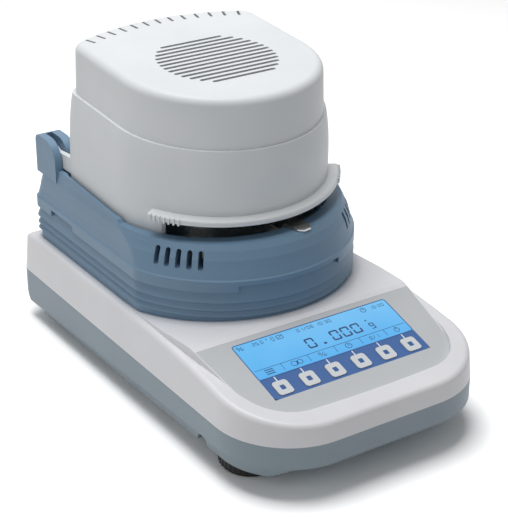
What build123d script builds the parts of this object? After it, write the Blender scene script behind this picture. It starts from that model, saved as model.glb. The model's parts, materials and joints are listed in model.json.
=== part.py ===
"""Moisture analyzer: a balance base with a heated chamber and a tilting hood.

Millimetres. +X is to the right as the user sees it, the front faces -Y, +Z is up.
The origin lies on the table, in the middle of the footprint.
"""
from build123d import *
from math import asin, atan2, cos, degrees, pi, radians, sin, sqrt, tan
import os

# Case
case_width = 196.0
case_depth = 345.0
front_corner = 56.0
rear_corner = 16.0
seam_height = 40.0
case_wall = 2.5
upper_draft = 5.3
crest_radius = 4.0
crest_front = 52.5
crest_top = 69.7
crest_flat_from_front = 162.5
rear_slope = 14.0

# Lower case
crease_front = 24.5
crease_rear = 14.0
belly_inset = 3.0
belly_draft = 6.0
belly_front = 20.0
belly_mid = 14.0
belly_rear = 5.0
belly_from_rear = 26.5
notch_radius = 6.0
notch_from_front = 82.5

# Deck and control panel
deck_half = 91.0
deck_front_half = 80.5
deck_corner = 36.0
deck_from_front = 20.0
deck_bow = 3.0
deck_flare = 8.6
deck_bend_from_front = 100.5
deck_waist_from_front = 132.5
deck_skin = 3.2
deck_peak = 74.0
deck_peak_from_front = 106.5
deck_rear = 69.7
deck_level_from_rear = 152.5
panel_tilt = 14.88
panel_from_front = 64.7
panel_height = 64.36
panel_margin = 1.2
panel_thickness = 1.2
panel_rear_from_front = 99.9

# Display and keys
display_width = 127.1
display_height = 35.3
strip_height = 19.8
window_ledge = 2.5
key_count = 6
key_pitch = 21.0
key_width = 11.5
key_length = 12.5
key_proud = 0.7
key_drop = 1.6
key_mark = (3.6, 4.2)
key_travel = 0.4
key_flange = 1.2
key_lip = 1.0
key_stem = 2.6
running_gap = 0.3
board_thickness = 1.6
key_board_top = -8.5
switch_height = 1.0
switch_gap = 0.35

# Adjustable feet in front, fixed feet behind
foot_x = 66.5
foot_from_front = 62.5
foot_radius = 22.0
foot_flutes = 36
pad_radius = 20.0
pad_height = 2.0
wheel_top = 9.5
stud_radius = 4.0
stud_top = 30.0
rear_foot_radius = 9.0
rear_foot_from_rear = 40.5

# Inside the base
rear_foot_seat = 8.0
base_bottom = 22.0
base_thickness = 6.0
cell_bolt_x = 40.0
cell_bolt_reach = (-41.5, 42.5)
board_bottom = 30.0
board_post_x = 49.0
board_chips = (
    (-30.0, 30.0, 22.0, 22.0, 3.0),
    (12.0, 34.0, 30.0, 16.0, 3.0),
    (34.0, 54.0, 14.0, 10.0, 6.0),
    (-8.0, 58.0, 26.0, 6.0, 7.0),
    (-42.0, 60.0, 12.0, 8.0, 8.0),
)
board_post_from_front = (42.5, 110.5)
supply_bottom = 13.0
supply_post_x = (-46.0, 0.0)
supply_post_from_rear = (70.5, 42.5)
case_screw_x = 84.0
case_screw_y = (-40.0, 60.0)
screw_radius = 1.6
screw_head_radius = 3.0
screw_seat = 20.0
screw_boss_radius = 3.8
screw_top = 54.0

# Collar
collar_half = 90.5
collar_radius = 95.5
collar_from_rear = 143.2
collar_rear_gap = 16.5
collar_corner = 10.0
collar_blend = 18.0
collar_tips = (77.2, 81.8, 87.6)
collar_undercut = 1.3
collar_relief = 1.8
collar_top = 100.5
collar_wall = 3.0

# Chamber
skirt_bottom = 95.5
skirt_wall = 2.0
skirt_lap = 0.2
notch_top = 100.3
front_notch = 83.0
side_notch_from_rear = (81.5, 47.5)
chamber_crease = 103.5
chamber_crest = 126.5
chamber_step_from_rear = 146.5
chamber_step = 2.0
chamber_peak = 133.3
chamber_peak_from_rear = 62.5
chamber_rear = 131.5
chamber_fall_from_rear = 36.5
shelf_thickness = 2.5
floor_thickness = 1.2
vent_width = 3.7
vent_low = 110.0
vent_high = 123.0
vent_first = 41.4
vent_step = 5.03
vent_count = 5

# Hood
hood_from_rear = 131.0
hood_z = 123.0
hood_tilt = 3.5
hood_radius = 82.0
hood_gap = 1.5
hood_wall = 2.5
hood_rear = 71.0
hood_bulge = 18.0
hood_corner = 14.0
hood_height = 104.9
hood_shoulder = 69.3
hood_ledge = 1.9
hood_top_radius = 74.3
hood_top_fillet = 6.0
hood_mouth_y = -44.0
lip_low = 18.4
lip_high = 22.9
lip_radius = 90.0
lip_angle = 62.0
rib_count = 7
rib_pitch = 2.2
grille_radius = 43.0
grille_y = -1.0
grille_slots = 13
grille_slot = 3.0
grille_pitch = 5.8
edge_slots = 13
edge_slot_width = 2.2
edge_slot_length = 9.0
edge_slot_inset = 11.0
edge_slot_span = 62.0

# Hinge
hinge_from_rear = 38.5
hinge_z = 138.0
tower_inner = 70.0
tower_outer = 88.0
tower_radius = 15.5
arm_thickness = 4.0
arm_x = 79.5
arm_radius = 8.0
arm_gap = 0.6
pin_radius = 3.0
pin_fit = 0.04

# Heater
reflector_height = 62.0
guard_height = 40.0
guard_thickness = 3.0
lamp_radius = 5.0
lamp_height = 54.0
lamp_spacing = 56.0
lamp_half = 44.0
glass_radius = 43.0
sensor_radius = 1.6
sensor_reach = 14.0
sensor_y = 52.0

# Weighing
pan_radius = 45.0
pan_wall_radius = 42.5
pan_floor = 117.0
pan_depth = 7.0
pan_thickness = 0.6
ring_outer = 56.0
ring_inner = 43.2
ring_thickness = 1.2
shield_outer = 55.5
shield_wall = 2.0
shield_foot = 3.0
tab_angle = 9.0
tab_width = 13.0
tab_reach = 98.5
tab_height = 127.0
post_radius = 4.0
post_hole = 7.0
post_bottom = 58.8
cell_top = 58.0
cell_bottom = 28.0
cell_width = 34.0
cell_length = 100.0

# Rear panel
panel_recess_half = 72.0
recess_low = 22.0
recess_high = 60.0
recess_depth = 16.0
rear_plate_thickness = 1.5
recess_frame = 2.5
inlet_x = -48.0
inlet_z = 42.0
inlet_size = (28.0, 24.0)
switch_x = -16.0
switch_size = (13.0, 19.0)
switch_throw = 10.0
fuse_x = 6.0
fuse_radius = 6.5
fuse_gap = 0.1
serial_x = 36.0
serial_size = (31.0, 12.5)
usb_x = 61.0
usb_size = (12.0, 11.0)

os.makedirs("parts", exist_ok=True)

front_y = -case_depth / 2
rear_y = case_depth / 2
crest_flat_y = front_y + crest_flat_from_front
notch_y = front_y + notch_from_front
deck_front_y = front_y + deck_from_front
deck_bend_y = front_y + deck_bend_from_front
deck_waist_y = front_y + deck_waist_from_front
deck_peak_y = front_y + deck_peak_from_front
panel_y = front_y + panel_from_front
panel_rear_y = front_y + panel_rear_from_front
foot_y = front_y + foot_from_front
board_post_y = [front_y + y for y in board_post_from_front]
belly_rear_y = rear_y - belly_from_rear
deck_level_y = rear_y - deck_level_from_rear
rear_foot_y = rear_y - rear_foot_from_rear
supply_post_y = [rear_y - y for y in supply_post_from_rear]
collar_y = rear_y - collar_from_rear
collar_rear_y = rear_y - collar_rear_gap
side_notch = [rear_y - y for y in side_notch_from_rear]
chamber_step_y = rear_y - chamber_step_from_rear
chamber_peak_y = rear_y - chamber_peak_from_rear
chamber_fall_y = rear_y - chamber_fall_from_rear
hood_y = rear_y - hood_from_rear
cell_bolt_y = [hood_y + y for y in cell_bolt_reach]
hinge_y = rear_y - hinge_from_rear
recess_floor_y = rear_y - recess_depth
sweep = 300.0
panel_slope = tan(radians(panel_tilt))
panel_plane = Plane(
    origin=(0, panel_y, panel_height),
    x_dir=(1, 0, 0),
    z_dir=(0, -sin(radians(panel_tilt)), cos(radians(panel_tilt))),
)
hood_place = Pos(0, hood_y, hood_z) * Rot(X=hood_tilt)


def block(x, y, z):
    """Box from its lowest to its highest corner: x, y and z are (low, high)."""
    size = Box(x[1] - x[0], y[1] - y[0], z[1] - z[0])
    return Pos((x[0] + x[1]) / 2, (y[0] + y[1]) / 2, (z[0] + z[1]) / 2) * size


def across(face, half=sweep):
    """Prism of a side profile, drawn as (y, z), to both sides of the middle."""
    return extrude(Plane.YZ * face, amount=half, both=True)


def rod(radius, low, high, x=0.0, y=0.0):
    """Upright cylinder from one height to another."""
    return Pos(x, y, (low + high) / 2) * Cylinder(radius, high - low)


def case_plan(inset=0.0):
    """Footprint of the case at the seam, offset inwards."""
    plan = Rectangle(case_width - 2 * inset, case_depth - 2 * inset)
    plan = fillet(plan.vertices().group_by(Axis.Y)[0], front_corner - inset)
    return fillet(plan.vertices().group_by(Axis.Y)[-1], rear_corner - inset)


def d_plan(half, radius, centre_y, back_y, corner, blend=0.0, bulge=0.0):
    """D-shaped outline: a round front, straight sides and a nearly flat back."""
    reach = sqrt(max(radius**2 - half**2, 0.0))
    side_y = centre_y - reach
    front_arc = ThreePointArc((-half, side_y), (0, centre_y - radius), (half, side_y))
    right = Line((half, side_y), (half, back_y))
    if bulge:
        back = ThreePointArc((half, back_y), (0, back_y + bulge), (-half, back_y))
    else:
        back = Line((half, back_y), (-half, back_y))
    left = Line((-half, back_y), (-half, side_y))
    plan = make_face([front_arc, right, back, left])
    plan = fillet(plan.vertices().group_by(Axis.Y)[-1], corner)
    if blend:
        plan = fillet(plan.vertices().group_by(Axis.Y)[0], blend)
    return plan


def collar_plan(inset=0.0):
    """Outline of the collar and the chamber, offset inwards."""
    return d_plan(
        collar_half - inset,
        collar_radius - inset,
        collar_y,
        collar_rear_y - inset,
        collar_corner,
        blend=collar_blend,
    )


def hood_plan(radius, rear, inset=0.0):
    """Outline of the hood at one height, offset inwards."""
    return d_plan(
        radius - inset,
        radius - inset,
        0,
        rear - inset,
        hood_corner - inset,
        bulge=hood_bulge,
    )


def stack(levels, ruled=True):
    """Solid through outlines at given heights: levels holds (height, face)."""
    return loft([Pos(0, 0, height) * face for height, face in levels], ruled=ruled)


def save(shape, name):
    export_step(shape, f"parts/{name}.step")


def union(shapes):
    """Fuse a list of shapes."""
    result = shapes[0]
    for shape in shapes[1:]:
        result = result + shape
    return result


def panel_line(y):
    """Height of the control panel plane at one depth."""
    return panel_height + panel_slope * (y - panel_y)


# Upper case


def rim_profile(drop=0.0):
    """Side view of the rim: level behind, falling in one arc to the front."""
    bottom_front = (front_y - 5, seam_height)
    crest_nose = (front_y - 5, crest_front - drop)
    crest_flat = (crest_flat_y, crest_top - drop)
    crest_back = (rear_y + 5, crest_top - drop)
    bottom_back = (rear_y + 5, seam_height)
    return make_face(
        [
            Line(bottom_front, crest_nose),
            Line(crest_flat, crest_back),
            TangentArc([crest_flat, crest_nose], tangent=(-1, 0)),
            Line(crest_back, bottom_back),
            Line(bottom_back, bottom_front),
        ]
    )


def rear_cut(drop=0.0):
    """Curved back of the upper case, seen from the side."""
    top = crest_top + 20
    lean = ThreePointArc(
        (rear_y - drop, seam_height),
        (rear_y - 4.2 - drop, seam_height + 14),
        (rear_y - rear_slope - drop, crest_top),
    )
    return make_face(
        [
            lean,
            Line((rear_y - rear_slope - drop, crest_top), (rear_y - rear_slope - drop, top)),
            Line((rear_y - rear_slope - drop, top), (rear_y + 30, top)),
            Line((rear_y + 30, top), (rear_y + 30, seam_height)),
            Line((rear_y + 30, seam_height), (rear_y - drop, seam_height)),
        ]
    )


def deck_plan(inset=0.0):
    """Outline of the raised deck and the panel well, with a bowed front edge."""
    half = deck_half - inset
    nose = deck_front_half - inset
    front = deck_front_y + inset
    hip = nose + deck_flare
    back = collar_rear_y + 1
    shape = make_face(
        [
            Line((-half, back), (-half, deck_waist_y)),
            Line((-half, deck_waist_y), (-hip, deck_bend_y)),
            Line((-hip, deck_bend_y), (-nose, front + deck_bow)),
            ThreePointArc((-nose, front + deck_bow), (0, front), (nose, front + deck_bow)),
            Line((nose, front + deck_bow), (hip, deck_bend_y)),
            Line((hip, deck_bend_y), (half, deck_waist_y)),
            Line((half, deck_waist_y), (half, back)),
            Line((half, back), (-half, back)),
        ]
    )
    return fillet(shape.vertices().group_by(Axis.Y)[0], deck_corner - inset)


def deck_profile(drop=0.0):
    """Everything under the panel and the deck, seen from the side."""
    low = seam_height - 20
    return make_face(
        Polyline(
            (front_y - 10, low),
            (front_y - 10, panel_line(front_y - 10) - drop),
            (panel_rear_y + 0.6, panel_line(panel_rear_y + 0.6) - drop),
            (deck_peak_y, deck_peak - drop),
            (deck_level_y, deck_rear - drop),
            (rear_y + 10, deck_rear - drop),
            (rear_y + 10, low),
            close=True,
        )
    )


def upper_case():
    raw = extrude(Pos(0, 0, seam_height) * case_plan(), amount=45, taper=upper_draft)
    rim = raw & across(rim_profile())
    edges = [e for e in rim.edges() if e.bounding_box().min.Z > seam_height + 5]
    edges = [e for e in edges if e.bounding_box().max.Z < crest_top + 3]
    edges = [e for e in edges if abs(e.center().X) > 5 or abs(e.center().Y) > 150]
    rim = fillet(edges, crest_radius)
    rim = rim - across(rear_cut())
    island = extrude(Pos(0, 0, seam_height) * deck_plan(), amount=45)
    well = island & across(deck_profile(), sweep)
    outer = (rim - island) + well
    inner = extrude(Pos(0, 0, seam_height) * case_plan(case_wall), amount=45, taper=upper_draft)
    inner = inner & across(rim_profile(case_wall + 1))
    inner = inner - across(rear_cut(case_wall))
    under = across(deck_profile(deck_skin))
    raised = extrude(Pos(0, 0, seam_height) * deck_plan(case_wall), amount=45)
    raised = (raised & under) - across(rear_cut(case_wall))
    hollow = (inner & under) + raised
    shell = outer - hollow
    bed = extrude(panel_plane * panel_outline(0.0), amount=panel_thickness + 20)
    shell = shell - Pos(*(panel_plane.z_dir * -panel_thickness)) * bed
    top = (display_height + strip_height) / 2 - window_ledge
    low = key_middle - key_length / 2 - key_lip - running_gap
    opening = Rectangle(display_width - 2 * window_ledge, top - low)
    opening = Pos(0, (top + low) / 2) * opening
    shell = shell - extrude(panel_plane * opening, amount=12, both=True)
    shell = shell - rod(post_hole, seam_height, crest_top + 10, 0, hood_y)
    for side in (-1, 1):
        for y in case_screw_y:
            x = side * case_screw_x
            shell = shell + rod(screw_boss_radius, seam_height, crest_top - 3, x, y)
            shell = shell - rod(screw_radius, seam_height, screw_top + 1, x, y)
    return rear_recess(shell, outer, (seam_height, 90))


def panel_outline(gap):
    """Outline of the grey panel plate, in the tilted panel plane."""
    inset = panel_margin + gap
    plan = deck_plan(inset) & block((-case_width, case_width), (front_y, panel_rear_y - gap), (-1, 1))
    edge = plan.faces()[0]
    flat = Pos(0, -panel_y, 0) * edge
    return scale(flat, by=(1, 1 / cos(radians(panel_tilt)), 1))


# Lower case


def crease_profile(rise=0.0):
    """Side view of the lower case down to its crease, with the sloping stern."""
    top = seam_height
    stern = ThreePointArc(
        (rear_y - 17 - rise, crease_rear + rise),
        (rear_y - 9.5 - rise, seam_height - 18.1 + rise * 0.4),
        (rear_y - rise, top),
    )
    return make_face(
        [
            Line((front_y - 5, top), (front_y - 5, crease_front - 1 + rise)),
            Line((front_y - 5, crease_front - 1 + rise), (notch_y, crease_front + rise)),
            Line((notch_y, crease_front + rise), (rear_y - 17 - rise, crease_rear + rise)),
            stern,
            Line((rear_y - rise, top), (front_y - 5, top)),
        ]
    )


def belly_profile(rise=0.0):
    """Side view of the inset band below the crease."""
    top = seam_height
    return make_face(
        Polyline(
            (front_y - 5, top),
            (front_y - 5, belly_front + rise),
            (front_y + 11.5, belly_front + rise),
            (front_y + 22.5, belly_mid + rise),
            (belly_rear_y - rise, belly_rear + rise),
            (belly_rear_y - rise, top),
            close=True,
        )
    )


def lower_case():
    down = -seam_height
    outline = extrude(Pos(0, 0, seam_height) * case_plan(), amount=down)
    belly = extrude(Pos(0, 0, seam_height) * case_plan(belly_inset), amount=down, taper=belly_draft)
    outer = (outline & across(crease_profile())) + (belly & across(belly_profile()))
    inner = extrude(Pos(0, 0, seam_height) * case_plan(case_wall), amount=down)
    inner = inner & across(crease_profile(case_wall))
    sump = belly_inset + case_wall
    inner_belly = extrude(Pos(0, 0, seam_height) * case_plan(sump), amount=down, taper=belly_draft)
    inner = inner + (inner_belly & across(belly_profile(case_wall)))
    shell = outer - inner
    for side in (-1, 1):
        boss = rod(stud_radius + 4, 12, stud_top + 2, side * foot_x, foot_y)
        shell = shell + boss
        shell = shell - rod(stud_radius + running_gap, 0, stud_top + 0.8, side * foot_x, foot_y)
        foot_boss = rod(rear_foot_radius + 2, belly_rear, 12, side * foot_x, rear_foot_y)
        shell = shell + foot_boss
        shell = shell - rod(rear_foot_radius, 0, rear_foot_seat, side * foot_x, rear_foot_y)
        notch = Pos(side * case_width / 2, notch_y, belly_mid - 2) * Rot(Y=90)
        shell = shell - notch * Cylinder(notch_radius, 24)
        for y in cell_bolt_y:
            shell = shell + floor_post(5, base_bottom, side * cell_bolt_x, y)
        for y in board_post_y:
            shell = shell + floor_post(4, board_bottom, side * board_post_x, y)
        for y in case_screw_y:
            x = side * case_screw_x
            shell = shell + floor_post(5, seam_height, x, y)
            shell = shell - rod(screw_radius, 0, seam_height + 1, x, y)
            shell = shell - rod(screw_head_radius + 0.1, 0, screw_seat, x, y)
    for x in supply_post_x:
        for y in supply_post_y:
            shell = shell + floor_post(3, supply_bottom, x, y)
    return rear_recess(shell, outer, (0, seam_height))


def floor_line(y):
    """Height of the underside at one depth."""
    fall = (belly_rear_y - y) / (belly_rear_y - front_y - 22.5)
    return belly_rear + fall * (belly_mid - belly_rear)


def floor_post(radius, top, x, y):
    """Post that stands on the sloping floor."""
    return rod(radius, floor_line(y) + case_wall / 2, top, x, y)


def case_screws():
    """Long screws that hold the upper case on the lower case."""
    screws = []
    for side in (-1, 1):
        for y in case_screw_y:
            x = side * case_screw_x
            head = rod(screw_head_radius, screw_seat - 2.2, screw_seat, x, y)
            head = head - rod(1.2, screw_seat - 3, screw_seat - 1.2, x, y)
            screws.append(head + rod(screw_radius - 0.05, screw_seat, screw_top, x, y))
    return screws


def rear_recess(shell, outer, heights):
    """Cut the connector bay into the back and give it walls and a ledge."""
    edge = case_wall
    low = max(recess_low - edge, heights[0])
    high = min(recess_high + edge, heights[1])
    span = (-panel_recess_half - edge, panel_recess_half + edge)
    tunnel = block(span, (recess_floor_y - edge, rear_y + 5), (low, high)) & outer
    bay_low = max(recess_low, heights[0])
    bay_high = min(recess_high, heights[1])
    bay_span = (-panel_recess_half, panel_recess_half)
    bay = block(bay_span, (recess_floor_y, rear_y + 10), (bay_low, bay_high))
    window_span = (-panel_recess_half + recess_frame, panel_recess_half - recess_frame)
    window_low = max(recess_low + recess_frame, heights[0])
    window_high = min(recess_high - recess_frame, heights[1])
    window = block(window_span, (recess_floor_y - 10, rear_y), (window_low, window_high))
    return (shell + tunnel) - bay - window


# Panel, display and keys


def key_x(index):
    """Sideways place of one key."""
    return (index - (key_count - 1) / 2) * key_pitch


def on_panel(face, low, high):
    """Plate parallel to the panel, between two heights above its plane."""
    plate = extrude(panel_plane * face, amount=high - low)
    return Pos(*(panel_plane.z_dir * low)) * plate


display_middle = strip_height / 2
strip_middle = -display_height / 2
key_middle = strip_middle - key_drop


def control_panel():
    plate = on_panel(panel_outline(0.1), -panel_thickness, 0)
    hole = Rectangle(display_width, display_height + strip_height)
    return plate - on_panel(hole, -5, 5)


def display_window():
    face = Pos(0, display_middle) * Rectangle(display_width - 0.1, display_height)
    return on_panel(face, -panel_thickness, 0)


def key_strip():
    face = Pos(0, strip_middle) * Rectangle(display_width - 0.1, strip_height)
    face = fillet(face.vertices().group_by(Axis.Y)[0], 3.5)
    strip = on_panel(face, -panel_thickness, 0)
    for index in range(key_count):
        hole = RectangleRounded(key_width + 2 * running_gap, key_length + 2 * running_gap, 2.6)
        strip = strip - on_panel(Pos(key_x(index), key_middle) * hole, -5, 5)
    return strip


def key_cap(index):
    place = Pos(key_x(index), key_middle)
    cap_bottom = -panel_thickness - running_gap
    cap = on_panel(place * RectangleRounded(key_width, key_length, 2.4), cap_bottom, key_proud)
    dish = place * RectangleRounded(key_mark[0], key_mark[1], 0.6)
    cap = cap - on_panel(dish, key_proud - 0.3, key_proud + 2)
    wide = place * RectangleRounded(key_width + 2 * key_lip, key_length + 2 * key_lip, 2.4)
    flange = on_panel(wide, cap_bottom - key_flange, cap_bottom)
    stem = place * Rectangle(key_stem, key_stem)
    return cap + flange + on_panel(stem, key_board_top + switch_height + key_travel + switch_gap, cap_bottom)


def key_board():
    face = Pos(0, key_middle - 1) * Rectangle(display_width - 4, strip_height - 4)
    board = on_panel(face, key_board_top - board_thickness, key_board_top)
    parts = [board]
    for index in range(key_count):
        pad = Pos(key_x(index), key_middle) * Rectangle(6, 6)
        parts.append(on_panel(pad, key_board_top, key_board_top + switch_height))
    for side in (-1, 1):
        leg = Pos(side * (display_width / 2 - 3.2), key_middle - 1) * Rectangle(2.2, 10)
        parts.append(on_panel(leg, key_board_top, -deck_skin))
    return union(parts)


def lcd_module():
    wide = Pos(0, display_middle - 1) * Rectangle(display_width - 6, display_height - 6)
    glass = on_panel(wide, -panel_thickness - 2.5, -panel_thickness)
    frame = Pos(0, display_middle) * Rectangle(display_width + 8, display_height - 1)
    body = on_panel(frame, -deck_skin - 6, -deck_skin)
    return glass + body


# Feet


def foot_pad(side):
    return rod(pad_radius, 0, pad_height, side * foot_x, foot_y)


def foot_wheel(side):
    bottom = pad_height + running_gap
    wheel = rod(foot_radius, bottom, wheel_top)
    wheel = chamfer(wheel.edges().group_by(Axis.Z)[-1], 0.8)
    for index in range(foot_flutes):
        turn = Rot(Z=360 / foot_flutes * index)
        flute = turn * Pos(foot_radius + 0.4, 0, (bottom + wheel_top) / 2)
        wheel = wheel - flute * Cylinder(1.1, wheel_top - bottom + 2)
    wheel = wheel + rod(stud_radius, wheel_top - 1, stud_top - 1.5)
    return Pos(side * foot_x, foot_y, 0) * wheel


def rear_feet():
    feet = []
    for side in (-1, 1):
        low = rod(rear_foot_radius - 1, 0, 1, side * foot_x, rear_foot_y)
        feet.append(low + rod(rear_foot_radius, 1, rear_foot_seat, side * foot_x, rear_foot_y))
    return feet


# Collar and chamber


def collar_inset(index):
    """How far a tier has stepped back where it meets the next one."""
    return collar_relief + 0.15 * index


def collar():
    low = deck_rear - 2
    levels = [(low, collar_plan(collar_relief))]
    levels.append((collar_tips[0] - collar_undercut, collar_plan(collar_relief)))
    for index, tip in enumerate(collar_tips):
        levels.append((tip, collar_plan(0)))
        if index + 1 < len(collar_tips):
            valley = collar_tips[index + 1] - collar_undercut
            levels.append((valley, collar_plan(collar_inset(index))))
    levels.append((collar_top, collar_plan(skirt_wall + skirt_lap + 1.2)))
    outer = stack(levels)
    hollow = extrude(Pos(0, 0, low - 1) * collar_plan(collar_relief + collar_wall), amount=60)
    return outer - hollow - across(deck_profile())


def chamber_top_profile():
    """Side view of the chamber: low in front, a small step, a slow rise behind."""
    low = skirt_bottom - 5
    return make_face(
        Polyline(
            (collar_y - collar_radius - 10, low),
            (collar_y - collar_radius - 10, chamber_crest),
            (chamber_step_y, chamber_crest),
            (chamber_step_y + 2, chamber_crest + chamber_step),
            (chamber_peak_y, chamber_peak),
            (chamber_fall_y, chamber_rear),
            (collar_rear_y + 20, chamber_rear - 3),
            (collar_rear_y + 20, low),
            close=True,
        )
    )


def dome_plan(side, front, back):
    """Chamber outline at one height, from its side, front and rear insets."""
    return d_plan(
        collar_half - side,
        collar_radius - front,
        collar_y,
        collar_rear_y - back,
        collar_corner,
        blend=collar_blend,
    )


def chamber_body():
    levels = [
        (skirt_bottom, dome_plan(0, 0, 0)),
        (chamber_crease, dome_plan(0, 0, 0)),
        (chamber_crease + 1.0, dome_plan(0.9, 0.9, 0.9)),
        (chamber_crease + 7.5, dome_plan(1.8, 3.0, 3.0)),
        (chamber_crease + 13.5, dome_plan(2.2, 4.6, 5.0)),
        (chamber_crease + 19.5, dome_plan(2.8, 7.4, 7.5)),
        (chamber_crest + 0.5, dome_plan(3.8, 10.6, 9.5)),
        (chamber_peak + 2, dome_plan(5.0, 13.0, 12.5)),
    ]
    dome = stack(levels) & across(chamber_top_profile())
    dome = dome + towers()
    lap = collar_plan(skirt_wall)
    dome = dome - extrude(Pos(0, 0, skirt_bottom - 1) * lap, amount=collar_top + 1 - skirt_bottom)
    dome = dome - chamber_opening()
    half = front_notch / 2
    notch = (skirt_bottom - 1, notch_top)
    dome = dome - block((-half, half), (collar_y - 110, -30), notch)
    for side in (-1, 1):
        x = sorted((side * 80, side * 100))
        dome = dome - block(x, side_notch, notch)
        for index in range(vent_count):
            dome = dome - vent(side * (vent_first + vent_step * index))
        dome = dome - tower_slot(side)
        dome = dome - pin_place(side) * Cylinder(pin_radius, tower_outer - tower_inner - 2)
    return dome


def vent(angle):
    """One upright vent through the chamber wall, with round ends."""
    turn = Pos(0, collar_y, (vent_low + vent_high) / 2) * Rot(Z=angle)
    face = SlotOverall(vent_high - vent_low, vent_width, rotation=90)
    cut = extrude(Plane.XZ * face, amount=collar_radius + 10)
    return turn * cut


def chamber_opening():
    """Well that the hood closes, following the hood's tilted outline."""
    plan = hood_plan(hood_radius + hood_gap, hood_rear + hood_gap)
    well = extrude(Pos(0, 0, -40) * plan, amount=90)
    above = block((-200, 200), (-200, 300), (collar_top + shelf_thickness, 250))
    post = rod(post_hole, collar_top - 1, collar_top + 10, 0, hood_y)
    return (hood_place * well & above) + post


def pin_place(side):
    """Middle of one hinge pin."""
    middle = side * (tower_inner + tower_outer) / 2
    return Pos(middle, hinge_y, hinge_z) * Rot(Y=90)


def towers():
    """Two hinge towers with quarter-round fronts."""
    low = chamber_rear - 8
    rear = hinge_y + tower_radius
    top = hinge_z + tower_radius
    face = make_face(
        [
            Line((hinge_y - tower_radius, low), (hinge_y - tower_radius, hinge_z)),
            ThreePointArc(
                (hinge_y - tower_radius, hinge_z),
                (hinge_y - tower_radius * sin(pi / 4), hinge_z + tower_radius * sin(pi / 4)),
                (hinge_y, top),
            ),
            Line((hinge_y, top), (rear - 5, top)),
            ThreePointArc((rear - 5, top), (rear - 1.5, top - 1.5), (rear, top - 5)),
            Line((rear, top - 5), (rear, low)),
            Line((rear, low), (hinge_y - tower_radius, low)),
        ]
    )
    wide = tower_outer - tower_inner
    middle = (tower_outer + tower_inner) / 2
    return Pos(middle, 0, 0) * across(face, wide / 2) + Pos(-middle, 0, 0) * across(face, wide / 2)


def tower_slot(side):
    """Space for the hood's arm, open in front and on top."""
    half = arm_thickness / 2 + arm_gap
    x = sorted((side * (arm_x - half), side * (arm_x + half)))
    low = hinge_z - arm_radius - arm_gap
    return block(x, (hinge_y - 25, hinge_y + arm_radius + 2), (low, hinge_z + 30))


def hinge_pins():
    pins = []
    for side in (-1, 1):
        pins.append(pin_place(side) * Cylinder(pin_radius, tower_outer - tower_inner - 2))
    return pins


def chamber_floor():
    plan = hood_plan(hood_radius + hood_gap, hood_rear + hood_gap, inset=8)
    low = collar_top + shelf_thickness
    plate = extrude(Pos(0, hood_y, low) * plan, amount=floor_thickness)
    return plate - rod(post_hole, low - 1, low + 5, 0, hood_y)


# Weighing


def draft_shield():
    low = collar_top + shelf_thickness + floor_thickness
    high = ring_bottom - running_gap
    tube = rod(shield_outer, low, high, 0, hood_y)
    tube = tube - rod(shield_outer - shield_wall, low - 1, high + 1, 0, hood_y)
    foot = rod(shield_outer + shield_foot, low, low + 1.5, 0, hood_y)
    foot = foot - rod(shield_outer - shield_wall, low - 1, low + 5, 0, hood_y)
    return tube + foot


ring_top = pan_floor + pan_depth - pan_thickness - running_gap
ring_bottom = ring_top - ring_thickness


def pan_handler():
    ring = rod(ring_outer, ring_bottom, ring_top)
    ring = ring - rod(ring_inner, ring_bottom - 1, ring_top + 1)
    rise = hood_radius + hood_gap - 5
    run = 3.0
    start = ring_outer - 3
    t = ring_thickness
    mitre = t * tan(atan2(tab_height + t - ring_top, run) / 2)
    outline = Polyline(
        (-start, ring_bottom),
        (-start, ring_top),
        (-rise, ring_top),
        (-rise - run, tab_height + t),
        (-tab_reach, tab_height + t),
        (-tab_reach, tab_height),
        (-rise - run - mitre, tab_height),
        (-rise - mitre, ring_bottom),
        close=True,
    )
    tongue = across(make_face(outline), tab_width / 2)
    tip = Pos(0, -tab_reach / 2, tab_height) * Box(tab_width, tab_reach, 20)
    tip = chamfer(tip.edges().filter_by(Axis.Z).group_by(Axis.Y)[0], 3.6)
    tongue = tongue & tip
    return Pos(0, hood_y, 0) * Rot(Z=tab_angle) * (ring + tongue)


def sample_pan():
    outer = rod(pan_wall_radius, pan_floor, pan_floor + pan_depth)
    rim_low = pan_floor + pan_depth - pan_thickness
    outer = outer + rod(pan_radius, rim_low, pan_floor + pan_depth)
    inner_radius = pan_wall_radius - pan_thickness
    inner = rod(inner_radius, pan_floor + pan_thickness, pan_floor + pan_depth + 1)
    return Pos(0, hood_y, 0) * (outer - inner)


def pan_support():
    top = pan_floor - running_gap
    post = rod(post_radius, post_bottom, top - 1)
    arms = union([Rot(Z=120 * i + 30) * block((-2.5, 2.5), (0, 38), (top - 3, top)) for i in range(3)])
    return Pos(0, hood_y, 0) * (post + arms)


def load_cell():
    x = (-cell_width / 2, cell_width / 2)
    y = (hood_y - cell_length + 20, hood_y + 20)
    body = block(x, y, (cell_bottom, cell_top))
    middle = (cell_bottom + cell_top) / 2
    slot = block((-50, 50), (y[0] + 28, y[1] - 28), (middle - 5, middle + 5))
    for hole_y in (y[0] + 28, y[1] - 28):
        slot = slot + Pos(0, hole_y, middle) * Rot(Y=90) * Cylinder(10, 100)
    return body - slot


def load_cell_base():
    x = (-cell_bolt_x - 8, cell_bolt_x + 8)
    y = (cell_bolt_y[0] - 10, cell_bolt_y[1] + 10)
    plate = block(x, y, (base_bottom, base_bottom + base_thickness))
    for side in (-1, 1):
        for hole_y in cell_bolt_y:
            plate = plate - rod(2.2, base_bottom - 1, base_bottom + 10, side * cell_bolt_x, hole_y)
    return plate


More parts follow.
